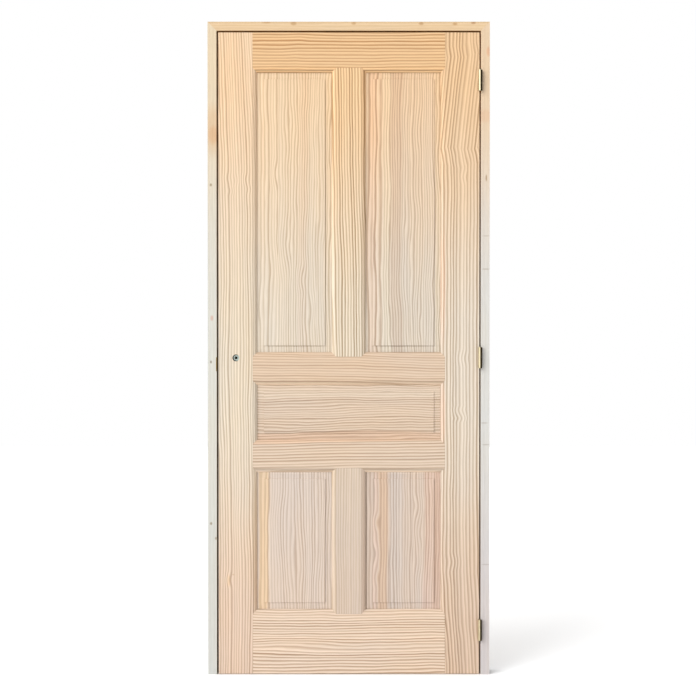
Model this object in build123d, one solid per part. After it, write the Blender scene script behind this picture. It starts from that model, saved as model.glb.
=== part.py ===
from build123d import *
import os

# A five-panel pine door leaf hung on butt hinges in its own rebated, mitred frame.
# Millimetres, +Z up, front towards -Y, origin at floor level on the hinge jamb's outer face, at mid depth.

# Leaf
leaf_width = 825
leaf_height = 2030
leaf_thickness = 35

# Running gaps round the closed leaf
hinge_gap = 5
latch_gap = 6
head_gap = 6
floor_gap = 2
stop_gap = 5

# Frame stock: plain front face, rebate for the leaf, stop behind it
jamb_face = 28
stop_projection = 12
frame_depth = 70

# Framing members, measured on their flat faces
stile_face = 108
top_rail_face = 111
lock_rail_face = 76
bottom_rail_face = 190
mullion_face = 81
middle_opening = 201
lower_opening = 463

# Quirked ovolo moulding run on the edge of every member, and the groove behind it
quirk_width = 1
quirk_depth = 1.8
ovolo_width = 12
ovolo_depth = 8.7
fillet_width = 1
groove_width = 11
groove_depth = 18
tenon_clearance = 1

# Raised panels
tongue_clearance = 0.2
panel_edge_gap = 2
bevel_width = 21
shoulder_height = 2.5
field_thickness = 18

# Lift-off butt hinges: the lower knuckle on the jamb, the upper one on the leaf
hinge_height = 65
hinge_plate_thickness = 2
hinge_plate_width = 25
barrel_radius = 6.5
barrel_stand_off = 1
knuckle_count = 2
knuckle_play = 0.4
pin_radius = 3
pin_clearance = 0.05
pin_head_radius = 5
pin_head_height = 1.2
top_hinge_drop = 152
middle_hinge_rise = 1003
bottom_hinge_rise = 140

# Mortice latch
spindle_rise = 1002
backset = 55
spindle_square = 8.2
handle_bore_radius = 11
handle_bore_depth = 26
case_height = 92
case_depth = 72
case_thickness = 14
case_wall = 1.5
case_clearance = 0.2
follower_radius = 8.5
follower_clearance = 0.1
forend_height = 160
forend_width = 20
forend_thickness = 3
latch_drop = 20
latch_height = 26
latch_thickness = 10
latch_length = 40
latch_nose = 12
latch_clearance = 0.3

# Strike plate on the latch jamb
strike_height = 100
strike_width = 22
strike_thickness = 2
strike_setback = 6
lip_height = 44
lip_round = 1.2
strike_mortice_depth = 14
strike_hole_margin = 2

# Levels and edges that follow from the sizes above
leaf_front = -frame_depth / 2
leaf_back = leaf_front + leaf_thickness
leaf_middle = leaf_front + leaf_thickness / 2
hinge_edge = -(jamb_face + hinge_gap)
latch_edge = hinge_edge - leaf_width
latch_reveal = latch_edge - latch_gap
latch_back = latch_reveal - jamb_face
leaf_bottom = floor_gap
leaf_top = leaf_bottom + leaf_height
head_underside = leaf_top + head_gap
frame_top = head_underside + jamb_face
stop_front = leaf_back + stop_gap
bottom_rail_top = leaf_bottom + bottom_rail_face
lower_lock_bottom = bottom_rail_top + lower_opening
lower_lock_top = lower_lock_bottom + lock_rail_face
upper_lock_bottom = lower_lock_top + middle_opening
upper_lock_top = upper_lock_bottom + lock_rail_face
top_rail_bottom = leaf_top - top_rail_face
hinge_flat = hinge_edge - stile_face
latch_flat = latch_edge + stile_face
mullion_middle = (hinge_flat + latch_flat) / 2
mullion_left = mullion_middle - mullion_face / 2
mullion_right = mullion_middle + mullion_face / 2
ovolo_edge = quirk_width + ovolo_width
sticking_width = ovolo_edge + fillet_width
sticking_depth = quirk_depth + ovolo_depth
groove_inset = groove_depth - sticking_width
tenon_reach = groove_inset - tenon_clearance
tongue_thickness = groove_width - 2 * tongue_clearance
pin_x = hinge_edge + hinge_gap / 2
pin_y = leaf_front - barrel_radius - barrel_stand_off
spindle_x = latch_edge + backset
spindle_z = leaf_bottom + spindle_rise
latch_z = spindle_z - latch_drop
case_middle_z = (spindle_z + latch_z) / 2
case_front_x = latch_edge + forend_thickness
hinge_levels = {
    "top": leaf_top - top_hinge_drop,
    "middle": leaf_bottom + middle_hinge_rise,
    "bottom": leaf_bottom + bottom_hinge_rise,
}


def block(x_low, x_high, y_low, y_high, z_low, z_high):
    """Box between two corners."""
    centre = Pos((x_low + x_high) / 2, (y_low + y_high) / 2, (z_low + z_high) / 2)
    return centre * Box(x_high - x_low, y_high - y_low, z_high - z_low)


def upright(radius, x, y, z_low, z_high):
    """Round bar standing on Z."""
    return Pos(x, y, (z_low + z_high) / 2) * Cylinder(radius, z_high - z_low)


def cross_bar(radius, x, z, y_low, y_high):
    """Round bar lying through the leaf, along Y."""
    return Pos(x, (y_low + y_high) / 2, z) * Rot(90, 0, 0) * Cylinder(radius, y_high - y_low)


def moulding():
    """Section of the stuck moulding: a quirk, an ovolo and a fillet on each face, joined at the groove wall."""
    far = leaf_thickness
    front_quirk = Line((0, quirk_depth), (quirk_width, quirk_depth))
    front_ovolo = TangentArc((quirk_width, quirk_depth), (ovolo_edge, sticking_depth), tangent=(1, 0))
    lip = Polyline(
        (ovolo_edge, sticking_depth),
        (sticking_width, sticking_depth),
        (sticking_width, far - sticking_depth),
        (ovolo_edge, far - sticking_depth),
    )
    back_ovolo = TangentArc((quirk_width, far - quirk_depth), (ovolo_edge, far - sticking_depth), tangent=(1, 0))
    back_quirk = Line((quirk_width, far - quirk_depth), (0, far - quirk_depth))
    root = Line((0, far - quirk_depth), (0, quirk_depth))
    return make_face(front_quirk + front_ovolo + lip + back_ovolo + back_quirk + root)


def framing_section(face_width, both_edges):
    """Section of a stile, rail or mullion, moulded and grooved on its far edge or on both edges."""
    section = Pos(face_width / 2, leaf_thickness / 2) * Rectangle(face_width, leaf_thickness)
    groove = Rectangle(groove_depth, groove_width)
    groove_middle = face_width + sticking_width - groove_depth / 2
    section += Pos(face_width, 0) * moulding()
    section -= Pos(groove_middle, leaf_thickness / 2) * groove
    if both_edges:
        section += Pos(0, leaf_thickness) * Rot(0, 0, 180) * moulding()
        section -= Pos(face_width - groove_middle, leaf_thickness / 2) * groove
    return section


def stile(outer_x, towards):
    """Full-height stile, moulded on its inner edge; towards is +1 or -1 along X, into the leaf."""
    start_z = leaf_bottom if towards > 0 else leaf_top
    plane = Plane(origin=(outer_x, leaf_front, start_z), x_dir=(towards, 0, 0), z_dir=(0, 0, towards))
    return extrude(plane * framing_section(stile_face, False), leaf_height)


def rail(z_start, upwards, face_width, both_edges):
    """Rail between the stiles with a stub tenon on each end; its first moulded edge faces upwards (+1) or down."""
    reach = hinge_flat - latch_flat + 2 * tenon_reach
    start_x = hinge_flat + tenon_reach if upwards > 0 else latch_flat - tenon_reach
    plane = Plane(origin=(start_x, leaf_front, z_start), x_dir=(0, 0, upwards), z_dir=(-upwards, 0, 0))
    return extrude(plane * framing_section(face_width, both_edges), reach)


def mullion(z_low, z_high):
    """Upright between two rails, moulded on both edges, with a stub tenon on each end."""
    plane = Plane(origin=(mullion_left, leaf_front, z_low - tenon_reach))
    return extrude(plane * framing_section(mullion_face, True), z_high - z_low + 2 * tenon_reach)


def raised_panel(x_low, x_high, z_low, z_high):
    """Panel raised on both faces, for the opening between these flat edges: tongue, bevel, shoulder and field."""
    centre = Pos((x_low + x_high) / 2, leaf_middle, (z_low + z_high) / 2)
    sight_width = x_high - x_low - 2 * sticking_width
    sight_height = z_high - z_low - 2 * sticking_width
    tongue_reach = 2 * (groove_depth - panel_edge_gap)
    field_width = sight_width - 2 * bevel_width
    field_height = sight_height - 2 * bevel_width
    bevel_rise = (field_thickness - tongue_thickness) / 2 - shoulder_height
    bevel = Wedge(
        sight_width,
        bevel_rise,
        sight_height,
        bevel_width,
        bevel_width,
        sight_width - bevel_width,
        sight_height - bevel_width,
    )
    back_bevel = Pos(0, (tongue_thickness + bevel_rise) / 2, 0) * bevel
    panel = Box(sight_width + tongue_reach, tongue_thickness, sight_height + tongue_reach)
    panel += back_bevel
    panel += Rot(0, 0, 180) * back_bevel
    panel += Box(field_width, field_thickness, field_height)
    return centre * panel


def frame_section():
    """Section of the frame stock: x away from its back, y from its front face to its rear face."""
    outline = Polyline(
        (0, leaf_front),
        (jamb_face, leaf_front),
        (jamb_face, stop_front),
        (jamb_face + stop_projection, stop_front),
        (jamb_face + stop_projection, -leaf_front),
        (0, -leaf_front),
        close=True,
    )
    return make_face(outline)


def mitre(corner_x, towards):
    """Everything above the 45 degree cut that starts at a top outer corner and falls towards the opening."""
    reach = 2 * (jamb_face + stop_projection)
    outline = Polyline(
        (corner_x, frame_top),
        (corner_x + towards * reach, frame_top - reach),
        (corner_x + towards * reach, frame_top + reach),
        (corner_x, frame_top + reach),
        close=True,
    )
    return extrude(Plane.XZ * make_face(outline), frame_depth, both=True)


def jamb(back_x, towards):
    """Upright of the frame, mitred at the top; towards is +1 or -1 along X, into the opening."""
    start_z = 0 if towards > 0 else frame_top
    plane = Plane(origin=(back_x, 0, start_z), x_dir=(towards, 0, 0), z_dir=(0, 0, towards))
    return extrude(plane * frame_section(), frame_top) - mitre(back_x, towards)


def knuckle_span(level, index):
    """Low and high ends of one knuckle, counted from the foot of the hinge."""
    step = hinge_height / knuckle_count
    low = level - hinge_height / 2 + index * step
    return low + knuckle_play / 2, low + step - knuckle_play / 2


def hinge_plate(level, side, first_knuckle):
    """One leaf of a butt hinge with every second knuckle; side is +1 for the jamb and -1 for the door leaf."""
    inner = pin_x + side * hinge_gap / 2
    outer = inner + side * hinge_plate_thickness
    x_low = min(inner, outer)
    x_high = max(inner, outer)
    y_high = leaf_front + hinge_plate_width
    plate = block(x_low, x_high, pin_y, y_high, level - hinge_height / 2, level + hinge_height / 2)
    for index in range(knuckle_count):
        z_low, z_high = knuckle_span(level, index)
        if index % 2 == first_knuckle:
            plate += upright(barrel_radius, pin_x, pin_y, z_low, z_high)
        else:
            notch_back = pin_y + barrel_radius + barrel_stand_off / 2
            plate -= block(x_low, x_high, pin_y, notch_back, z_low - knuckle_play, z_high + knuckle_play)
    bore = upright(pin_radius + pin_clearance, pin_x, pin_y, level - hinge_height, level + hinge_height)
    return plate - bore


def hinge_recess(level, side):
    """Pocket for one hinge plate, let in flush."""
    inner = pin_x + side * hinge_gap / 2
    outer = inner + side * hinge_plate_thickness
    y_high = leaf_front + hinge_plate_width
    z_low = level - hinge_height / 2
    return block(min(inner, outer), max(inner, outer), leaf_front, y_high, z_low, z_low + hinge_height)


def hinge_pin(level):
    """Pin through all the knuckles, with a low button at each end."""
    z_low = level - hinge_height / 2
    z_high = level + hinge_height / 2
    pin = upright(pin_radius, pin_x, pin_y, z_low, z_high)
    pin += upright(pin_head_radius, pin_x, pin_y, z_low - pin_head_height, z_low)
    pin += upright(pin_head_radius, pin_x, pin_y, z_high, z_high + pin_head_height)
    return pin


def centred_block(x_low, x_high, thickness, z_middle, height):
    """Box centred on the leaf's thickness and on a level."""
    y_low = leaf_middle - thickness / 2
    z_low = z_middle - height / 2
    return block(x_low, x_high, y_low, y_low + thickness, z_low, z_low + height)


# Framing of the leaf: the rails are coped over the stiles, the mullions over the rails
latch_stile = stile(latch_edge, 1)
hinge_stile = stile(hinge_edge, -1)
stiles = latch_stile + hinge_stile
top_rail = rail(leaf_top, -1, top_rail_face, False) - stiles
upper_lock_rail = rail(upper_lock_bottom, 1, lock_rail_face, True) - stiles
lower_lock_rail = rail(lower_lock_bottom, 1, lock_rail_face, True) - stiles
bottom_rail = rail(leaf_bottom, 1, bottom_rail_face, False) - stiles
upper_mullion = mullion(upper_lock_top, top_rail_bottom) - top_rail - upper_lock_rail
lower_mullion = mullion(bottom_rail_top, lower_lock_bottom) - lower_lock_rail - bottom_rail

# Latch let into the latch stile
case_back_x = case_front_x + case_depth
case = centred_block(case_front_x, case_back_x, case_thickness, case_middle_z, case_height)
case -= centred_block(
    case_front_x,
    case_back_x - case_wall,
    case_thickness - 2 * case_wall,
    case_middle_z,
    case_height - 2 * case_wall,
)
case -= cross_bar(follower_radius + follower_clearance, spindle_x, spindle_z, leaf_front, leaf_back)
follower = cross_bar(
    follower_radius,
    spindle_x,
    spindle_z,
    leaf_middle - case_thickness / 2,
    leaf_middle + case_thickness / 2,
)
follower -= Pos(spindle_x, leaf_middle, spindle_z) * Box(spindle_square, leaf_thickness, spindle_square)
forend = centred_block(latch_edge, case_front_x, forend_width, case_middle_z, forend_height)
forend -= centred_block(
    latch_edge,
    case_front_x,
    latch_thickness + 2 * latch_clearance,
    latch_z,
    latch_height + 2 * latch_clearance,
)
nose_outline = Polyline(
    (latch_edge, leaf_middle - latch_thickness / 2),
    (latch_edge + latch_nose, leaf_middle + latch_thickness / 2),
    (latch_edge + latch_length, leaf_middle + latch_thickness / 2),
    (latch_edge + latch_length, leaf_middle - latch_thickness / 2),
    close=True,
)
latch_bolt = Pos(0, 0, latch_z - latch_height / 2) * extrude(make_face(nose_outline), latch_height)
latch_stile -= centred_block(latch_edge, case_front_x, forend_width, case_middle_z, forend_height)
latch_stile -= centred_block(
    case_front_x,
    case_back_x + case_clearance,
    case_thickness + 2 * case_clearance,
    case_middle_z,
    case_height + 2 * case_clearance,
)
latch_stile -= cross_bar(handle_bore_radius, spindle_x, spindle_z, leaf_front, leaf_front + handle_bore_depth)

# Strike plate let into the latch jamb, with its lip run out to the front arris
strike_back = latch_reveal - strike_thickness
strike_front_y = leaf_front + strike_setback
strike_blank = block(
    strike_back,
    latch_reveal,
    strike_front_y,
    strike_front_y + strike_width,
    latch_z - strike_height / 2,
    latch_z + strike_height / 2,
)
lip_blank = block(
    strike_back,
    latch_reveal,
    leaf_front,
    strike_front_y,
    latch_z - lip_height / 2,
    latch_z + lip_height / 2,
)
latch_hole = centred_block(
    strike_back - strike_mortice_depth,
    latch_reveal,
    latch_thickness + 2 * strike_hole_margin,
    latch_z,
    latch_height + 2 * strike_hole_margin,
)
strike_plate = strike_blank + lip_blank - latch_hole
lip_arris = strike_plate.edges().filter_by(Axis.Z).group_by(Axis.Y)[0].sort_by(Axis.X)[-1]
strike_plate = fillet(lip_arris, lip_round)

# Frame
hinge_jamb = jamb(0, -1)
latch_jamb = jamb(latch_back, 1) - strike_blank - lip_blank - latch_hole
head_plane = Plane(origin=(latch_back, 0, frame_top), x_dir=(0, 0, -1), z_dir=(1, 0, 0))
head = extrude(head_plane * frame_section(), -latch_back) - hinge_jamb - latch_jamb

# Hinges, each let into the jamb and the hinge stile
nodes = {}
for place, level in hinge_levels.items():
    hinge_jamb -= hinge_recess(level, 1)
    hinge_stile -= hinge_recess(level, -1)
    nodes[f"{place}_hinge_frame_plate"] = hinge_plate(level, 1, 0)
    nodes[f"{place}_hinge_leaf_plate"] = hinge_plate(level, -1, 1)
    nodes[f"{place}_hinge_pin"] = hinge_pin(level)

nodes["hinge_jamb"] = hinge_jamb
nodes["latch_jamb"] = latch_jamb
nodes["frame_head"] = head
nodes["strike_plate"] = strike_plate
nodes["hinge_stile"] = hinge_stile
nodes["latch_stile"] = latch_stile
nodes["top_rail"] = top_rail
nodes["upper_lock_rail"] = upper_lock_rail
nodes["lower_lock_rail"] = lower_lock_rail
nodes["bottom_rail"] = bottom_rail
nodes["upper_mullion"] = upper_mullion
nodes["lower_mullion"] = lower_mullion
nodes["upper_left_panel"] = raised_panel(latch_flat, mullion_left, upper_lock_top, top_rail_bottom)
nodes["upper_right_panel"] = raised_panel(mullion_right, hinge_flat, upper_lock_top, top_rail_bottom)
nodes["middle_panel"] = raised_panel(latch_flat, hinge_flat, lower_lock_top, upper_lock_bottom)
nodes["lower_left_panel"] = raised_panel(latch_flat, mullion_left, bottom_rail_top, lower_lock_bottom)
nodes["lower_right_panel"] = raised_panel(mullion_right, hinge_flat, bottom_rail_top, lower_lock_bottom)
nodes["lock_case"] = case
nodes["lock_forend"] = forend
nodes["lock_follower"] = follower
nodes["latch_bolt"] = latch_bolt

os.makedirs("parts", exist_ok=True)
for name, solid in nodes.items():
    export_step(solid, f"parts/{name}.step")
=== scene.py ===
import math
import bpy
import numpy as np
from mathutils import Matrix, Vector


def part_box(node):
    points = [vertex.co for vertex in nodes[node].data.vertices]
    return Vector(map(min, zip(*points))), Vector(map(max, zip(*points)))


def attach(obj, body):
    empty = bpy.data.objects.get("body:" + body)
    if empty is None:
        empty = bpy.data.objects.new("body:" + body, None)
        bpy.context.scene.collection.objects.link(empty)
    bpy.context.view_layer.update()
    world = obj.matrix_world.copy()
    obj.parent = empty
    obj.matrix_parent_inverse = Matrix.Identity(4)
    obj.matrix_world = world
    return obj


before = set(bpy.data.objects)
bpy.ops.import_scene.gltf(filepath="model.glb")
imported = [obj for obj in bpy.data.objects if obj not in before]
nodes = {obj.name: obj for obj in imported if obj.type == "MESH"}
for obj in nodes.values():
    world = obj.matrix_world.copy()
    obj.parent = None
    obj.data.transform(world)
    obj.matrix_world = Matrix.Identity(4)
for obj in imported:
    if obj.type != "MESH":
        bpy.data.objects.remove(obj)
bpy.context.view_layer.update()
mm = 0.001

# Places read from the frame, in metres
leaf_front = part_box("latch_stile")[0].y
leaf_latch_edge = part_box("latch_stile")[0].x
leaf_hinge_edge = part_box("hinge_stile")[1].x
follower_low, follower_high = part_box("lock_follower")
spindle = (follower_low + follower_high) / 2

# Sizes shared with the solids, in mm
jamb_face = 28
stile_face = 108
upper_opening = 913
lower_opening = 463
handle_bore_radius = 11
handle_bore_depth = 26

# Shoulders of the rails and mullions, mm from their middles
rail_shoulder = (leaf_hinge_edge - leaf_latch_edge) / 2 / mm - stile_face
upper_shoulder = upper_opening / 2
lower_shoulder = lower_opening / 2

# Levels over the floor, mm, between which the long boards' colour turns from plain to painted warm light,
# toward the head and toward the foot
pale_top, warm_light_head = 1050, 1950
pale_foot, warm_light_foot = 870, 110

# Width and length of the patches in the wood's figure, mm; fibres are hair fine, drawn wide enough to show
wander_patch = (80, 380)
ripple_patch = (36, 120)
cloud_patch = (70, 320)
fibre_patch = (2.2, 60)

# A bend's level is ragged by this many mm for each mm of ripple
bend_raggedness = 12.0

# Where each further stave's pith lies from the last one's, mm across and in depth
stave_across, stave_depth = 37.3, 11.7

# Half length, mm, of a line that runs along the whole of its board
whole = 2000


def linear(hex_colour):
    """sRGB hex to linear RGBA."""
    channels = [int(hex_colour[i:i + 2], 16) / 255 for i in (0, 2, 4)]
    return [c / 12.92 if c <= 0.04045 else ((c + 0.055) / 1.055) ** 2.4 for c in channels] + [1.0]


def tint(stain_and_shading):
    """A gain over the wood's own colour, channel by channel, for stains and for painted shade and light;
    e0e0e0 leaves the wood as it is.
    """
    return [under_gain / plain for under_gain, plain in zip(linear(stain_and_shading), linear("e0e0e0"))]


def add(tree, kind, inputs=(), **settings):
    """Adds one node with its settings and its inputs, values or links, and returns its first output.

    Inputs 1 to 4 of a Map Range are from low, from high, to low and to high. Inputs 6 and 7 of a Mix of
    colours are those colours, and its output 2 is their mix.
    """
    node = tree.nodes.new(kind)
    for name, value in settings.items():
        setattr(node, name, value)
    for key, value in dict(inputs).items():
        if isinstance(value, bpy.types.NodeSocket):
            tree.links.new(value, node.inputs[key])
        else:
            node.inputs[key].default_value = value
    return node.outputs[0] if node.outputs else node


def new_finish(name):
    """A new material: its tree with a Principled surface, and that surface's node."""
    material = bpy.data.materials.new(name)
    material.use_nodes = True
    tree = material.node_tree
    tree.nodes.clear()
    surface = add(tree, "ShaderNodeBsdfPrincipled").node
    add(tree, "ShaderNodeOutputMaterial", {"Surface": surface.outputs[0]})
    return material, tree, surface


def dress(material, *names):
    """Gives each named piece one material."""
    for name in names:
        mesh = nodes[name].data
        mesh.materials.clear()
        mesh.materials.append(material)


class Board:
    """Places on one board, mm from its middle: along the grain, across it (right or up) and in depth."""

    def __init__(self, tree, node, upright, seed):
        low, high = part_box(node)
        self.tree = tree
        self.seed = seed
        self.middle = (low + high) / 2 / mm
        self.front = low.y / mm - self.middle.y
        place = add(tree, "ShaderNodeMapping", {
            "Vector": add(tree, "ShaderNodeTexCoord").node.outputs["Object"],
            "Location": -self.middle,
            "Scale": (1 / mm, 1 / mm, 1 / mm),
        })
        split = add(tree, "ShaderNodeSeparateXYZ", {0: place}).node.outputs
        self.along, self.across = (split["Z"], split["X"]) if upright else (split["X"], split["Z"])
        self.depth = split["Y"]
        self.place = add(tree, "ShaderNodeCombineXYZ", {0: self.across, 1: self.depth, 2: self.along})

    def figure(self, patch, detail):
        """Smooth random values, in patches of this width and length."""
        width, length = patch
        stretch = (1 / width, 1 / width, 1 / length)
        stretched = add(self.tree, "ShaderNodeVectorMath", {0: self.place, 1: stretch}, operation="MULTIPLY")
        inputs = {"Vector": stretched, "W": self.seed, "Detail": detail, "Scale": 1.0}
        return add(self.tree, "ShaderNodeTexNoise", inputs, noise_dimensions="4D")

    def distance_from(self, across, along, half_width, half_length):
        """Distance from a place on the board, as a share of the half width and half length."""
        centre = (across, 0.0, along)
        share = (1 / half_width, 0.0, 1 / half_length)
        off = add(self.tree, "ShaderNodeVectorMath", {0: self.place, 1: centre}, operation="SUBTRACT")
        off = add(self.tree, "ShaderNodeVectorMath", {0: off, 1: share}, operation="MULTIPLY")
        return add(self.tree, "ShaderNodeVectorMath", {0: off}, operation="LENGTH").node.outputs["Value"]

    def under_gain(self, colour, gain, amount):
        """The colour under a gain, by an amount from 0 to 1."""
        inputs = {"Factor": amount, 6: colour, 7: gain}
        mix = add(self.tree, "ShaderNodeMix", inputs, data_type="RGBA", blend_type="MULTIPLY")
        return mix.node.outputs[2]


def bent_fibres(board, wander_mm, ripple_mm, bends, kinks):
    """Each fibre's own place across the board: across, plus slow wander, small ripple, bends and kinks."""
    tree = board.tree
    inputs = {"Value": board.figure(wander_patch, 1.0), 1: 0.25, 2: 0.75, 3: -wander_mm, 4: wander_mm}
    shift = add(tree, "ShaderNodeMapRange", inputs, clamp=False)
    inputs = {"Value": board.figure(ripple_patch, 1.5), 1: 0.25, 2: 0.75, 3: -ripple_mm, 4: ripple_mm}
    ripple = add(tree, "ShaderNodeMapRange", inputs, clamp=False)
    shift = add(tree, "ShaderNodeMath", {0: shift, 1: ripple}, operation="ADD")
    inputs = {0: ripple, 1: bend_raggedness, 2: board.along}
    level = add(tree, "ShaderNodeMath", inputs, operation="MULTIPLY_ADD")
    for low_end, high_end, step in bends:
        bend = add(tree, "ShaderNodeMapRange", {"Value": level, 1: low_end, 2: high_end, 3: 0.0, 4: step})
        shift = add(tree, "ShaderNodeMath", {0: shift, 1: bend}, operation="ADD")
    for *reach, step in kinks:
        inputs = {"Value": board.distance_from(*reach), 1: 0.0, 2: 1.0, 3: step, 4: 0.0}
        kink = add(tree, "ShaderNodeMapRange", inputs, interpolation_type="SMOOTHSTEP")
        shift = add(tree, "ShaderNodeMath", {0: shift, 1: kink}, operation="ADD")
    return add(tree, "ShaderNodeMath", {0: board.across, 1: shift}, operation="ADD")


def stave_number(board, staves):
    """How many glue lines lie to the left of, or below, each place; None on a board of one piece."""
    number = None
    for glue_line in staves:
        beyond = add(board.tree, "ShaderNodeMath", {0: board.across, 1: glue_line}, operation="GREATER_THAN")
        if number:
            beyond = add(board.tree, "ShaderNodeMath", {0: number, 1: beyond}, operation="ADD")
        number = beyond
    return number


def growth_rings(board, fibre, stave, ring_mm, pith, lean):
    """How late in its year the wood at each place grew, 0 to 1, and a value that drifts from year to year.

    Years are the distance from the pith over the ring width, made uneven by the drift. Within a year the wood
    darkens slowly, and it is sharply pale again at the next; a random strength is drawn for each year.
    """
    tree = board.tree
    arm_across = add(tree, "ShaderNodeMath", {0: fibre, 1: -pith[0]}, operation="ADD")
    pith_depth = add(tree, "ShaderNodeMath", {0: board.along, 1: -lean, 2: pith[1]}, operation="MULTIPLY_ADD")
    arm_depth = add(tree, "ShaderNodeMath", {0: board.depth, 1: pith_depth}, operation="SUBTRACT")
    if stave:
        inputs = {0: stave, 1: stave_across, 2: arm_across}
        arm_across = add(tree, "ShaderNodeMath", inputs, operation="MULTIPLY_ADD")
        inputs = {0: stave, 1: stave_depth, 2: arm_depth}
        arm_depth = add(tree, "ShaderNodeMath", inputs, operation="MULTIPLY_ADD")
    arm = add(tree, "ShaderNodeCombineXYZ", {0: arm_across, 1: arm_depth})
    radius = add(tree, "ShaderNodeVectorMath", {0: arm}, operation="LENGTH").node.outputs["Value"]

    unevenness = 0.45
    years = add(tree, "ShaderNodeMath", {0: radius, 1: 1 / ring_mm}, operation="MULTIPLY")
    era = add(tree, "ShaderNodeMath", {0: years, 1: unevenness, 2: board.seed}, operation="MULTIPLY_ADD")
    uneven = add(tree, "ShaderNodeTexNoise", {"W": era, "Scale": 1.0, "Detail": 1.0}, noise_dimensions="1D")
    years = add(tree, "ShaderNodeMath", {0: uneven, 1: unevenness, 2: years}, operation="MULTIPLY_ADD")
    season = add(tree, "ShaderNodeMath", {0: years}, operation="FRACT")
    year = add(tree, "ShaderNodeMath", {0: years}, operation="FLOOR")
    year = add(tree, "ShaderNodeMath", {0: year, 1: board.seed}, operation="ADD")
    strength = add(tree, "ShaderNodeTexWhiteNoise", {"W": year}, noise_dimensions="1D").node.outputs["Value"]
    strength = add(tree, "ShaderNodeMapRange", {"Value": strength, 3: 0.5, 4: 1.0})
    inputs = {"Value": season, 1: 0.22, 2: 0.74, 3: 0.0, 4: 1.0}
    rise = add(tree, "ShaderNodeMapRange", inputs, interpolation_type="SMOOTHSTEP")
    inputs = {"Value": season, 1: 0.85, 2: 1.0, 3: 1.0, 4: 0.0}
    fall = add(tree, "ShaderNodeMapRange", inputs, interpolation_type="SMOOTHSTEP")
    lateness = add(tree, "ShaderNodeMath", {0: rise, 1: fall}, operation="MULTIPLY")
    return add(tree, "ShaderNodeMath", {0: lateness, 1: strength}, operation="MULTIPLY"), uneven


def early_wood(board, tones):
    """The early wood's colour: one tone, or three blended by height over the floor, of which the head and
    foot ones are painted warm light.
    """
    if isinstance(tones, str):
        return linear(tones)
    tree = board.tree
    head, waist, foot = (linear(tone) for tone in tones)
    inputs = {"Value": board.along, 1: pale_top - board.middle.z, 2: warm_light_head - board.middle.z}
    above = add(tree, "ShaderNodeMapRange", inputs, interpolation_type="SMOOTHSTEP")
    inputs = {"Value": board.along, 1: pale_foot - board.middle.z, 2: warm_light_foot - board.middle.z}
    below = add(tree, "ShaderNodeMapRange", inputs, interpolation_type="SMOOTHSTEP")
    upper = add(tree, "ShaderNodeMix", {"Factor": above, 6: waist, 7: head}, data_type="RGBA").node.outputs[2]
    return add(tree, "ShaderNodeMix", {"Factor": below, 6: upper, 7: foot}, data_type="RGBA").node.outputs[2]


def shade_of_wood(board, uneven, fibres, stave, joint_mm):
    """Lightness of the wood, about 1: by year, fibre and stave, and darker at the closed joints."""
    tree = board.tree
    shade = add(tree, "ShaderNodeMapRange", {"Value": uneven, 1: 0.25, 2: 0.75, 3: 0.97, 4: 1.03})
    fleck = add(tree, "ShaderNodeMapRange", {"Value": fibres, 1: 0.3, 2: 0.7, 3: 0.95, 4: 1.05})
    shade = add(tree, "ShaderNodeMath", {0: shade, 1: fleck}, operation="MULTIPLY")
    if stave:
        log = add(tree, "ShaderNodeMath", {0: stave, 1: board.seed}, operation="ADD")
        log = add(tree, "ShaderNodeTexWhiteNoise", {"W": log}, noise_dimensions="1D").node.outputs["Value"]
        log = add(tree, "ShaderNodeMapRange", {"Value": log, 3: 0.96, 4: 1.03})
        shade = add(tree, "ShaderNodeMath", {0: shade, 1: log}, operation="MULTIPLY")
    if joint_mm:
        # The closed joint is under 0.3 mm wide; drawn about 1.5 mm wide so that it shows
        reach = add(tree, "ShaderNodeMath", {0: board.along}, operation="ABSOLUTE")
        inputs = {"Value": reach, 1: joint_mm - 1.6, 2: joint_mm - 0.8, 3: 1.0, 4: 0.8}
        seam = add(tree, "ShaderNodeMapRange", inputs)
        shade = add(tree, "ShaderNodeMath", {0: shade, 1: seam}, operation="MULTIPLY")
    return shade


def painted_bore_shade(board, axis, radius, bore_depth):
    """Painted shade in a hole bored from the front about an axis: 1 on its wall and floor, and 0 elsewhere.
    """
    past_wall, under_face = 1.05, 0.5
    off = axis / mm - board.middle
    share = board.distance_from(off.x, off.z, radius, radius)
    inside = add(board.tree, "ShaderNodeMath", {0: share, 1: past_wall}, operation="LESS_THAN")
    half_way = board.front + under_face + bore_depth / 2
    inputs = {0: board.depth, 1: half_way, 2: bore_depth / 2}
    under = add(board.tree, "ShaderNodeMath", inputs, operation="COMPARE")
    return add(board.tree, "ShaderNodeMath", {0: inside, 1: under}, operation="MULTIPLY")


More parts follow.
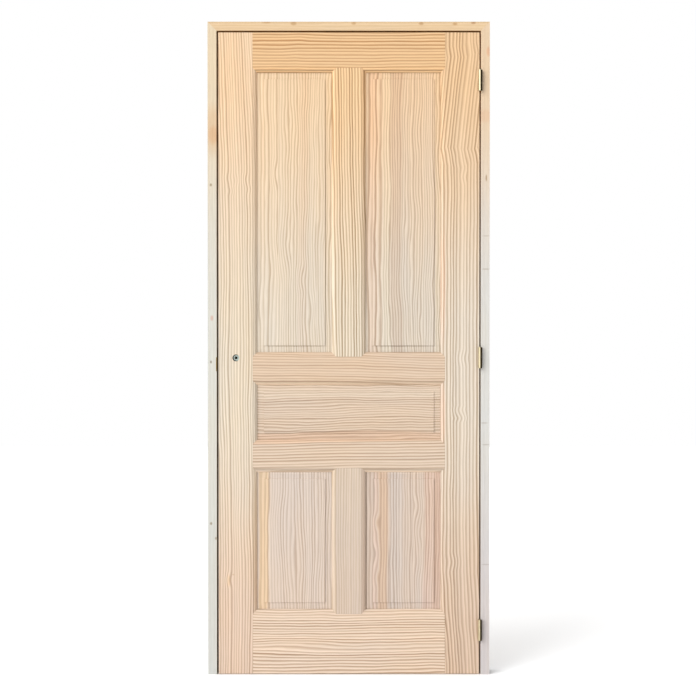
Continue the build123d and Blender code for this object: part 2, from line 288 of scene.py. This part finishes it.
def planed_pine(node, upright, ring_mm, pith, tones, late, seed, bends=(), kinks=(), wander_mm=4.0,
                ripple_mm=1.5, lean=0.0, staves=(), streaks=(), spots=(), joint_mm=None, painted_reveal=None,
                bore=None):
    """Planed raw pine on one board: matt, pale early wood with a darker late line at the end of every ring.

    Places are in mm from the board's middle, as Board gives them.
    ring_mm, pith: the rings' width, and where their middle is, (across, depth).
    lean: how far the pith comes forward per mm along the board, which closes the rings into arches.
    tones: the early wood's colour, or its colours at the head of the door, at mid height and at the foot;
    the head and foot colours are painted warm light, as it falls on the ends of the long boards. late: the
    gain of the late wood over that.
    bends: (low, high, step), the fibres move sideways by step between two levels.
    kinks: (across, along, half width, half length, step), the fibres bulge by step there, as round a branch.
    staves: across-places of glue lines, beyond which the wood comes from another part of the log.
    streaks: (across, half width, colour, strength), bands of colour that follow the fibres: stains in the
    wood, and painted highlights on mouldings that face the lamp.
    spots: (across, along, half width, half length, colour, strength), small knots and stains, and painted
    lines of shade and painted light along the mouldings.
    joint_mm: distance from the middle to the shoulder at each end, drawn as a fine dark line.
    painted_reveal: (direction, colour), a painted light or a painted shade on the faces that line the gap
    round the leaf.
    bore: (axis, radius, depth, colour) of a hole from the front, whose wall and floor get painted shade; the
    axis is in metres.
    """
    material, tree, surface = new_finish(f"planed_pine_{node}")
    board = Board(tree, node, upright, seed)
    fibre = bent_fibres(board, wander_mm, ripple_mm, bends, kinks)
    stave = stave_number(board, staves)
    lateness, uneven = growth_rings(board, fibre, stave, ring_mm, pith, lean)
    fibres = board.figure(fibre_patch, 2.0)

    # Late wood over early wood, under slow changes of hue and shade
    colour = board.under_gain(early_wood(board, tones), linear(late), lateness)
    inputs = {"Factor": board.figure(cloud_patch, 2.0), 6: linear("fff2e6"), 7: linear("f6f4f8")}
    hue = add(tree, "ShaderNodeMix", inputs, data_type="RGBA").node.outputs[2]
    colour = board.under_gain(colour, hue, 1.0)
    shade = shade_of_wood(board, uneven, fibres, stave, joint_mm)
    colour = add(tree, "ShaderNodeVectorMath", {0: colour, "Scale": shade}, operation="SCALE")

    # Stains
    for at_across, half_width, stain_and_shading, amount in streaks:
        off = add(tree, "ShaderNodeMath", {0: fibre, 1: at_across}, operation="SUBTRACT")
        off = add(tree, "ShaderNodeMath", {0: off}, operation="ABSOLUTE")
        inputs = {"Value": off, 1: 0.7 * half_width, 2: 1.25 * half_width, 3: amount, 4: 0.0}
        band = add(tree, "ShaderNodeMapRange", inputs, interpolation_type="SMOOTHSTEP")
        colour = board.under_gain(colour, tint(stain_and_shading), band)
    for *reach, stain_and_shading, amount in spots:
        inputs = {"Value": board.distance_from(*reach), 1: 0.5, 2: 1.3, 3: amount, 4: 0.0}
        spot = add(tree, "ShaderNodeMapRange", inputs, interpolation_type="SMOOTHSTEP")
        colour = board.under_gain(colour, tint(stain_and_shading), spot)
    # Painted light and shade, board by board, on the faces that line the gap round the leaf
    if painted_reveal:
        direction, stain_and_shading = painted_reveal
        normal = add(tree, "ShaderNodeTexCoord").node.outputs["Normal"]
        facing = add(tree, "ShaderNodeVectorMath", {0: normal, 1: direction}, operation="DOT_PRODUCT")
        facing = add(tree, "ShaderNodeMapRange", {"Value": facing.node.outputs["Value"], 1: 0.5, 2: 0.9})
        colour = board.under_gain(colour, tint(stain_and_shading), facing)
    # Painted shade on the wall and floor of the handle bore
    if bore:
        *hole, stain_and_shading = bore
        colour = board.under_gain(colour, tint(stain_and_shading), painted_bore_shade(board, *hole))

    # The planer leaves late wood a hair proud and smoother
    height = add(tree, "ShaderNodeMath", {0: fibres, 1: 0.35, 2: lateness}, operation="MULTIPLY_ADD")
    bump = add(tree, "ShaderNodeBump", {"Strength": 0.12, "Distance": 0.25 * mm, "Height": height})
    sheen = add(tree, "ShaderNodeMapRange", {"Value": lateness, 3: 0.66, 4: 0.52})
    tree.links.new(colour, surface.inputs["Base Color"])
    tree.links.new(sheen, surface.inputs["Roughness"])
    tree.links.new(bump, surface.inputs["Normal"])
    surface.inputs["Specular IOR Level"].default_value = 0.28
    dress(material, node)


def plated_steel(name, colour, roughness, painted_dark_side=None, bore_shadow=None):
    """Pressed sheet with a thin metal plating: even colour, faint drawn lines along Z, dull smudges.

    painted_dark_side: painted shade, the darker colour of the barrel's side that is turned to +X.
    bore_shadow: (x, z, radius, colour), mm, a painted shadow of the bore's rim that darkens the metal beyond
    that radius from (x, z).
    """
    material, tree, surface = new_finish(name)
    place = add(tree, "ShaderNodeMapping", {
        "Vector": add(tree, "ShaderNodeTexCoord").node.outputs["Object"],
        "Scale": (1 / mm, 1 / mm, 1 / mm),
    })
    line_gap, line_length, smudge_width = 0.5, 8, 9
    stretch = (1 / line_gap, 1 / line_gap, 1 / line_length)
    drawn = add(tree, "ShaderNodeVectorMath", {0: place, 1: stretch}, operation="MULTIPLY")
    lines = add(tree, "ShaderNodeTexNoise", {"Vector": drawn, "Scale": 1.0, "Detail": 3.0})
    smudge = add(tree, "ShaderNodeTexNoise", {"Vector": place, "Scale": 1 / smudge_width, "Detail": 2.0})
    mottle = add(tree, "ShaderNodeMath", {0: lines, 1: 0.5, 2: smudge}, operation="MULTIPLY_ADD")
    inputs = {"Value": mottle, 1: 0.45, 2: 1.05, 3: roughness - 0.08, 4: roughness + 0.12}
    dull = add(tree, "ShaderNodeMapRange", inputs)
    shade = add(tree, "ShaderNodeMapRange", {"Value": mottle, 1: 0.45, 2: 1.05, 3: 0.88, 4: 1.06})
    plating = linear(colour)[:3]
    # Painted shade on the side of the barrel that is turned to +X
    if painted_dark_side:
        normal = add(tree, "ShaderNodeTexCoord").node.outputs["Normal"]
        turned = add(tree, "ShaderNodeSeparateXYZ", {0: normal})
        inputs = {"Value": turned, 1: -0.1, 2: 0.1}
        turned = add(tree, "ShaderNodeMapRange", inputs, interpolation_type="SMOOTHSTEP")
        depth = add(tree, "ShaderNodeSeparateXYZ", {0: place}).node.outputs["Y"]
        barrel_back = leaf_front / mm - 0.5
        barrel = add(tree, "ShaderNodeMath", {0: depth, 1: barrel_back}, operation="LESS_THAN")
        turned = add(tree, "ShaderNodeMath", {0: turned, 1: barrel}, operation="MULTIPLY")
        inputs = {"Factor": turned, 6: linear(colour), 7: linear(painted_dark_side)}
        plating = add(tree, "ShaderNodeMix", inputs, data_type="RGBA").node.outputs[2]
    # Painted shadow of the bore's rim on the metal beyond the radius
    if bore_shadow:
        lit_x, lit_z, lit_radius, shadow_colour = bore_shadow
        centre = (lit_x, 0.0, lit_z)
        off = add(tree, "ShaderNodeVectorMath", {0: place, 1: centre}, operation="SUBTRACT")
        off = add(tree, "ShaderNodeVectorMath", {0: off, 1: (1.0, 0.0, 1.0)}, operation="MULTIPLY")
        off = add(tree, "ShaderNodeVectorMath", {0: off}, operation="LENGTH").node.outputs["Value"]
        inputs = {"Value": off, 1: lit_radius, 2: lit_radius + 2}
        shadow_share = add(tree, "ShaderNodeMapRange", inputs, interpolation_type="SMOOTHSTEP")
        inputs = {"Factor": shadow_share, 6: linear(colour), 7: linear(shadow_colour)}
        plating = add(tree, "ShaderNodeMix", inputs, data_type="RGBA").node.outputs[2]
    tinted = add(tree, "ShaderNodeVectorMath", {0: plating, "Scale": shade}, operation="SCALE")
    bump = add(tree, "ShaderNodeBump", {"Strength": 0.2, "Distance": 0.1 * mm, "Height": lines})
    tree.links.new(tinted, surface.inputs["Base Color"])
    tree.links.new(dull, surface.inputs["Roughness"])
    tree.links.new(bump, surface.inputs["Normal"])
    surface.inputs["Metallic"].default_value = 1.0
    return material


# Framing of the leaf: radiata pine with wide, even rings
# Painted light on the faces inside the gap on the hinge side, which lie in shade: on the hinge stile and the
# hinge jamb
painted_gap_light = "faeedb"
# Latch stile: the spot at 54 across is painted shade on the moulding that faces away from the lamp
planed_pine("latch_stile", upright=True, ring_mm=8.0, pith=(-230, -110), seed=1.3,
            tones=("dbc2a1", "d0c9b8", "cdbba9"), late="cac1b7",
            bends=((590, 1015, 20), (-420, -200, 7)),
            kinks=((-30, 556, 26, 26, 3), (-4, 548, 24, 28, -3), (20, 552, 22, 26, 3),
                   (36, 520, 22, 22, -2.5), (-20, 515, 26, 20, -2.5), (-30, -716, 22, 34, 5)),
            spots=((-29, -719, 5, 22, "e0d9cb", 0.9), (-15, -700, 3, 3, "cbc5bd", 0.8),
                   (54, -594, 8, 260, "d9d4cb", 0.9)),
            bore=(spindle, handle_bore_radius, handle_bore_depth, "544941"))
# Hinge stile: the spots are painted highlights along the moulding that faces the lamp; the reveal gets
# painted light
planed_pine("hinge_stile", upright=True, ring_mm=9.8, pith=(260, -120), seed=2.1,
            tones=("d4b892", "ccc6b9", "c6b4a1"), late="c1b6a8", painted_reveal=((1, 0, 0), painted_gap_light),
            bends=((945, 979, 5), (645, 945, -36), (598, 645, 10), (-1015, -690, 22)),
            kinks=((6, -14, 34, 34, 5), (-2, -178, 34, 18, 4), (2, -204, 34, 16, -5),
                   (-18, -660, 38, 34, -4), (10, 560, 20, 30, 4)),
            spots=((-54, 215, 9, 190, "e8dbd7", 0.9), (-54, -190, 9, 110, "e8dbd7", 0.9)))
# Top rail: the spots are two painted highlight bands and a painted line of shade along its lower moulding
planed_pine("top_rail", upright=False, ring_mm=9.2, pith=(250, -130), seed=3.7,
            # Its warmer tone is painted warm light, as at the head of the long boards
            tones="d2b48a", late="c6b29c", joint_mm=rail_shoulder,
            bends=((-200, -165, -1.5), (-165, -130, 1.5)),
            spots=((-51.5, 0, 3, whole, "f1f1ef", 0.9), (-59, 0, 2.5, whole, "eeeeec", 0.9),
                   (-55.6, 0, 1.4, whole, "a49d94", 0.9)))
# Upper lock rail: the spots are a painted line of shade and a painted highlight band along its lower moulding
planed_pine("upper_lock_rail", upright=False, ring_mm=8.0, pith=(-240, -110), seed=4.4,
            tones="c7b6a1", late="d8d0c8", joint_mm=rail_shoulder, bends=((-300, 300, 9),),
            spots=((-42, 0, 3, whole, "cfcfcd", 0.9), (-50, 0, 3, whole, "f5f5f3", 0.9)))
# Lower lock rail: the streak is a painted highlight on its upper moulding; the spots are a painted line of
# shade and a painted highlight band along its lower moulding
planed_pine("lower_lock_rail", upright=False, ring_mm=8.4, pith=(-220, -130), seed=5.2,
            tones="c8baa8", late="cec4ba", joint_mm=rail_shoulder, bends=((-300, 300, -12),),
            streaks=((45, 7, "e9ded6", 0.9),),
            spots=((-43, 0, 2.6, whole, "bfbfbd", 0.9), (-50, 0, 3, whole, "f7f7f5", 0.9)))
planed_pine("bottom_rail", upright=False, ring_mm=8.4, pith=(-150, -70), seed=6.6,
            tones="d1c3b2", late="baab9a", joint_mm=rail_shoulder, wander_mm=7, ripple_mm=2.5)
# Upper mullion: the spot is painted shade on the moulding that faces away from the lamp
planed_pine("upper_mullion", upright=True, ring_mm=8.8, pith=(-260, -90), seed=7.9,
            tones=("ddbf95", "d0c9b8", "d0c9b8"), late="b2a38c", joint_mm=upper_shoulder,
            bends=((-456, 456, 14),), spots=((47, 0, 7, whole, "d9d5d2", 0.9),))
# Lower mullion: the streak is a painted highlight on the moulding that faces the lamp, and the spot is
# painted shade on the one that faces away
planed_pine("lower_mullion", upright=True, ring_mm=7.4, pith=(-240, -120), seed=8.5,
            tones=("c1b6a7", "c1b6a7", "bfb2a4"), late="e8e4dc", joint_mm=lower_shoulder,
            streaks=((-47, 7, "e2e0d9", 0.9),), spots=((47, 0, 7, whole, "ddd8d6", 0.9),))

# Raised panels, glued up from staves, with painted thin lines of shade where the field meets the bevel, and
# painted light over the shade at the foot of some mouldings
# Upper left panel: the spots are painted lines of shade at the field's right and lower edges
planed_pine("upper_left_panel", upright=True, ring_mm=8.2, pith=(-150, 60), seed=9.1,
            tones=("d6c1a1", "c9c4b7", "c9c4b7"), late="d8d0c6", staves=(-52, 70), wander_mm=9, ripple_mm=4,
            kinks=((20, -210, 30, 60, 9), (-28, -90, 34, 110, 8), (-60, 120, 26, 60, 6),
                   (58, -300, 24, 70, -6)),
            streaks=((28, 16, "dedbda", 0.9), (108, 10, "e4e2de", 0.9)),
            spots=((98.5, 0, 1.8, 480, "c2bdb5", 0.8), (0, -423, 110, 1.8, "c2bdb5", 0.8)))
# Upper right panel: the first spot is a painted line of shade at the field's lower edge, the second is
# painted light over the shade beside the mullion's moulding
planed_pine("upper_right_panel", upright=True, ring_mm=8.3, pith=(-140, 60), seed=10.7,
            tones=("d1b999", "c4bfb3", "c4bfb3"), late="c8beb4", staves=(-71, -43, 20),
            wander_mm=7, ripple_mm=4,
            streaks=((-99, 16, "e8e0dc", 0.9), (-76, 5, "e0dbd7", 0.9), (-55, 13, "e6e8e7", 0.9),
                     (-21, 19, "dbd7d6", 0.9), (10, 9, "e4e5e7", 0.9), (112, 10, "e6e5e0", 0.9)),
            spots=((0, -423, 110, 1.8, "b5b0aa", 0.8), (-116, 0, 4, whole, "f6f6f6", 0.9)))
# Middle panel: the first spot is painted light over the shade under the upper moulding, the second is a
# painted line of shade at the field's lower edge
planed_pine("middle_panel", upright=False, ring_mm=8.0, pith=(-160, 40), seed=11.3,
            tones="c7b9a7", late="c4b9ae", lean=0.02, wander_mm=8, ripple_mm=4,
            streaks=((61, 13, "e4e7e8", 0.9), (-78, 13, "e6dcd6", 0.9)),
            spots=((85, 0, 4, whole, "f3f3f2", 0.9), (-62, 0, 1.8, 290, "ada49d", 0.8)))
# Lower left panel: the spots are painted light over the shade under the upper moulding and along the field's
# upper edge
planed_pine("lower_left_panel", upright=True, ring_mm=8.6, pith=(-140, 50), seed=12.9,
            tones=("c5bdb4", "c5bdb4", "c7bcb0"), late="d6cec6", staves=(-80,), wander_mm=6, ripple_mm=3,
            kinks=((-44, 40, 44, 150, 8), (-16, -70, 40, 120, 7), (34, -70, 42, 130, -9),
                   (74, 60, 30, 160, -5)),
            streaks=((-99, 15, "e9dec7", 0.9), (-82, 6, "e4e2dd", 0.9)),
            spots=((0, 216, 120, 4, "f3f3f2", 0.9), (0, 197.5, 100, 2, "ececec", 0.9)))
# Lower right panel: the first two spots are painted light over the shade under the upper moulding and along
# the field's upper edge; the others are painted lines of shade at the field's right edge and beside the
# mullion's moulding
planed_pine("lower_right_panel", upright=True, ring_mm=8.4, pith=(-150, 50), seed=13.5,
            tones="c1b5a9", late="d6cec8", staves=(-44, 28, 68), wander_mm=6, ripple_mm=3,
            kinks=((46, 110, 26, 50, -7), (46, 30, 26, 60, 6), (46, -70, 24, 60, -6),
                   (-88, 60, 22, 40, 6), (-88, -40, 22, 50, -6), (-86, -120, 22, 40, 5)),
            streaks=((-88, 6, "eae5e4", 0.9), (-65, 15, "e1d7cb", 0.9), (-23, 20, "e0e6ec", 0.9),
                     (30, 34, "e0e2e3", 0.9), (80, 15, "e0d9d7", 0.9), (108, 13, "e0d4ce", 0.9)),
            spots=((0, 216, 120, 4, "f3f3f2", 0.9), (0, 197.5, 100, 2, "ececec", 0.9),
                   (101, 0, 1.8, 230, "b8b2ac", 0.8), (-117.5, 0, 2.4, whole, "a8a29c", 0.9)))

# Frame: paler whitewood, hardly figured, with pin knots, sap stains and finger joints
# Painted shade, brown, on the faces inside the gap on the latch side and under the head
painted_gap_shade = "d8c5a6"
planed_pine("hinge_jamb", upright=True, ring_mm=9.0, pith=(140, 60), seed=14.2,
            tones=("cbb89c", "bfc4c3", "b9b7b7"), late="faf9f7", painted_reveal=((-1, 0, 0), painted_gap_light),
            spots=((15, 939, 6, 16, "d8bdb3", 0.7), (4, 736, 30, 22, "ddcfc8", 0.6),
                   (9, 540, 2.5, 11, "a18f77", 0.8), (8, 357, 12, 2, "bdb6ac", 0.5),
                   (8, 252, 14, 2.4, "afa69a", 0.5), (4, -235, 12, 2.4, "b6a89e", 0.5),
                   (9, -304, 14, 2, "aca39a", 0.5), (8, -684, 14, 2.2, "b3aca5", 0.5)))
planed_pine("latch_jamb", upright=True, ring_mm=9.0, pith=(-140, 60), seed=15.8,
            tones=("c9bea5", "bfc4bf", "b8bebc"), late="faf9f7", painted_reveal=((1, 0, 0), painted_gap_shade),
            spots=((-2, 692, 30, 80, "dcccbd", 0.8), (-2, 676, 16, 30, "dac5b3", 0.6),
                   (-10, 518, 4, 5, "a19785", 0.8), (-7, 97, 5, 9, "d6ada3", 0.7),
                   (-10, -42, 3.5, 5, "93887e", 0.8), (-10, -554, 4, 5, "a1937e", 0.8),
                   (5, -601, 3.5, 5, "a89a88", 0.8)))
# The head's warmer tone is painted warm light, as at the head of the long boards
planed_pine("frame_head", upright=False, ring_mm=9.0, pith=(-150, 60), seed=16.4,
            tones="cab593", late="f4f0e8", painted_reveal=((0, 0, -1), painted_gap_shade),
            spots=((14, -174, 6, 10, "af9770", 0.55), (15, 16, 5, 8, "b69e7a", 0.55),
                   (14, 229, 5, 8, "a88c65", 0.55), (13, 336, 5, 8, "af9369", 0.55),
                   (16, 394, 4, 8, "a17a57", 0.55), (17, -260, 3, 14, "c1ac8f", 0.55)))

# Ironmongery: a painted shadow darkens the lock case round the handle bore, all but a ring a little to the
# right of the spindle
lit_ring = (spindle.x / mm + 2.8, spindle.z / mm - 0.4, 8.0)
# The hinge barrels get painted shade on their side turned to +X
hinge_brass = plated_steel("brassed_steel_hinges", "c4b898", 0.38, painted_dark_side="352a16")
lock_brass = plated_steel("dull_brassed_steel", "9c8048", 0.42)
lock_zinc = plated_steel("zinc_plated_steel", "b3beb6", 0.38)
case_zinc = plated_steel("shadowed_zinc_plate", "b9c8be", 0.38, bore_shadow=(*lit_ring, "4a4a44"))
hinge_places = ("top", "middle", "bottom")
for place in hinge_places:
    dress(hinge_brass, f"{place}_hinge_frame_plate", f"{place}_hinge_leaf_plate", f"{place}_hinge_pin")
dress(lock_brass, "strike_plate", "lock_forend")
dress(lock_zinc, "lock_follower", "latch_bolt")
dress(case_zinc, "lock_case")


def countersunk_screws(name, places, facing, body, material):
    """Screw heads let in flush, at places, with their tops facing along X by +1 or -1.

    Each head is a closed turned form on a grid of steps from the middle of the top round to the middle of the
    underside, and of angles: the radius grows to the rim and shrinks again down the cone. The head dips in a
    cross, where either cross-distance from the axis is under the slot's half width and the radius is under
    the slot's reach.
    """
    head, shank, cone = 3.7 * mm, 1.8 * mm, 1.6 * mm
    proud, dome, rim = 0.15 * mm, 0.12 * mm, 0.97
    slot_half, slot_reach, slot_depth, slot_bevel = 0.45 * mm, 2.2 * mm, 0.7 * mm, 0.25 * mm
    ring = np.concatenate([np.linspace(0.06, 0.96, 16), [1.0]])
    radius = np.concatenate([ring * head, [shank]])[:, None]
    drop = np.concatenate([dome * ring ** 4, [cone]])[:, None]
    angle = np.linspace(0, 2 * math.pi, 48, endpoint=False)
    across = radius * np.cos(angle)
    along = radius * np.sin(angle)
    narrow = np.minimum(abs(across), abs(along))
    edge = np.clip((slot_half - narrow) / slot_bevel + 0.5, 0, 1)
    end = np.clip((slot_reach - radius) / slot_bevel + 0.5, 0, 1)
    dip = drop + slot_depth * edge * end * (radius <= rim * head)
    steps, turns = across.shape
    shape = np.stack([proud - dip, across, along], axis=-1).reshape(-1, 3)
    poles = np.array([[proud - slot_depth, 0, 0], [proud - cone, 0, 0]])
    shape = np.concatenate([shape, poles]) * (facing, 1, 1)
    index = np.arange(steps * turns).reshape(steps, turns)
    after = np.roll(index, -1, axis=1)
    sides = np.stack([index[:-1], index[1:], after[1:], after[:-1]], axis=-1).reshape(-1, 4)
    top = np.stack([np.full(turns, steps * turns), index[0], after[0]], axis=-1)
    under = np.stack([np.full(turns, steps * turns + 1), after[-1], index[-1]], axis=-1)
    if facing < 0:
        sides, top, under = sides[:, ::-1], top[:, ::-1], under[:, ::-1]
    points = (np.array(places)[:, None, :] + shape[None]).reshape(-1, 3)
    faces = []
    for copy in range(len(places)):
        for patch in (sides, top, under):
            faces += (patch + copy * len(shape)).tolist()
    mesh = bpy.data.meshes.new(name)
    mesh.from_pydata(points.tolist(), [], faces)
    mesh.shade_smooth()
    mesh.materials.append(material)
    piece = bpy.data.objects.new(name, mesh)
    bpy.context.collection.objects.link(piece)
    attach(piece, body)


# Three screws in each hinge plate, staggered; two in the forend and two in the strike
hinge_screw_rise = 22 * mm
outer_inset, middle_inset = 17 * mm, 9 * mm
forend_screw_rise = 70 * mm
strike_screw_rise = 40 * mm
strike_inset = 11 * mm
stagger = ((-hinge_screw_rise, outer_inset), (0.0, middle_inset), (hinge_screw_rise, outer_inset))
frame_screws = []
leaf_screws = []
for place in hinge_places:
    low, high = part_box(f"{place}_hinge_frame_plate")
    level = (low.z + high.z) / 2
    for rise, inset in stagger:
        frame_screws.append((-jamb_face * mm, leaf_front + inset, level + rise))
        leaf_screws.append((leaf_hinge_edge, leaf_front + inset, level + rise))
countersunk_screws("frame_plate_screws", frame_screws, -1, "frame", hinge_brass)
countersunk_screws("leaf_plate_screws", leaf_screws, 1, "leaf", hinge_brass)
low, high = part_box("lock_forend")
level = (low.z + high.z) / 2
forend_screws = [(low.x, (low.y + high.y) / 2, level + way * forend_screw_rise) for way in (-1, 1)]
countersunk_screws("forend_screws", forend_screws, -1, "leaf", lock_brass)
low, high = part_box("strike_plate")
level = (low.z + high.z) / 2
strike_screws = [(high.x, high.y - strike_inset, level + way * strike_screw_rise) for way in (-1, 1)]
countersunk_screws("strike_screws", strike_screws, 1, "frame", lock_brass)

# Pale floor
floor_half = 9.0
floor_corners = [(x, y, 0) for x, y in floor_half * np.array([(-1, -1), (1, -1), (1, 1), (-1, 1)])]
floor_mesh = bpy.data.meshes.new("floor")
floor_mesh.from_pydata(floor_corners, [], [(0, 1, 2, 3)])
floor = bpy.data.objects.new("floor", floor_mesh)
bpy.context.collection.objects.link(floor)
floor_paint, floor_tree, floor_surface = new_finish("matt_white_floor")
floor_surface.inputs["Base Color"].default_value = linear("f6f6f6")
floor_surface.inputs["Roughness"].default_value = 0.9
floor_mesh.materials.append(floor_paint)

# Soft studio light: a white room with a bright left wall and a dim right one, and a broad lamp on the left
bright_wall, dim_wall, wall_turn = 1.75, 0.42, 0.8
world = bpy.data.worlds.new("white_room")
bpy.context.scene.world = world
world.use_nodes = True
room = world.node_tree
room.nodes.clear()
way = add(room, "ShaderNodeTexCoord")
side = add(room, "ShaderNodeSeparateXYZ", {0: way})
walls = {"Value": side, 1: -wall_turn, 2: wall_turn, 3: bright_wall, 4: dim_wall}
glow = add(room, "ShaderNodeMapRange", walls, interpolation_type="SMOOTHSTEP")
seen = add(room, "ShaderNodeLightPath").node.outputs["Is Camera Ray"]
glow = add(room, "ShaderNodeMix", {"Factor": seen, "A": glow, "B": 1.0})
backdrop = add(room, "ShaderNodeBackground", {"Color": (1.0, 1.0, 1.0, 1.0), "Strength": glow})
add(room, "ShaderNodeOutputWorld", {"Surface": backdrop})

lamp_height = math.radians(30)
lamp_left = math.radians(45)
lamp = bpy.data.lights.new("broad_lamp", "SUN")
lamp.energy = 1.95
lamp.angle = math.radians(40)
holder = bpy.data.objects.new("broad_lamp", lamp)
bpy.context.collection.objects.link(holder)
holder.rotation_euler = (math.pi / 2 - lamp_height, 0.0, -lamp_left)

# Camera square on to the door, tipped down by half a degree
distance = 4.5
pitch = math.radians(0.56)
aim_across, aim_height = -0.4482, 1.0353
view_width = 2.203
camera = bpy.data.cameras.new("camera")
camera.sensor_width = 36.0
camera.lens = camera.sensor_width * (distance + leaf_front) / view_width
eye = bpy.data.objects.new("camera", camera)
bpy.context.collection.objects.link(eye)
eye.location = (aim_across, -distance, aim_height + (distance + leaf_front) * math.tan(pitch))
eye.rotation_euler = (math.pi / 2 - pitch, 0.0, 0.0)
bpy.context.scene.camera = eye
bpy.context.scene.view_settings.view_transform = "Standard"
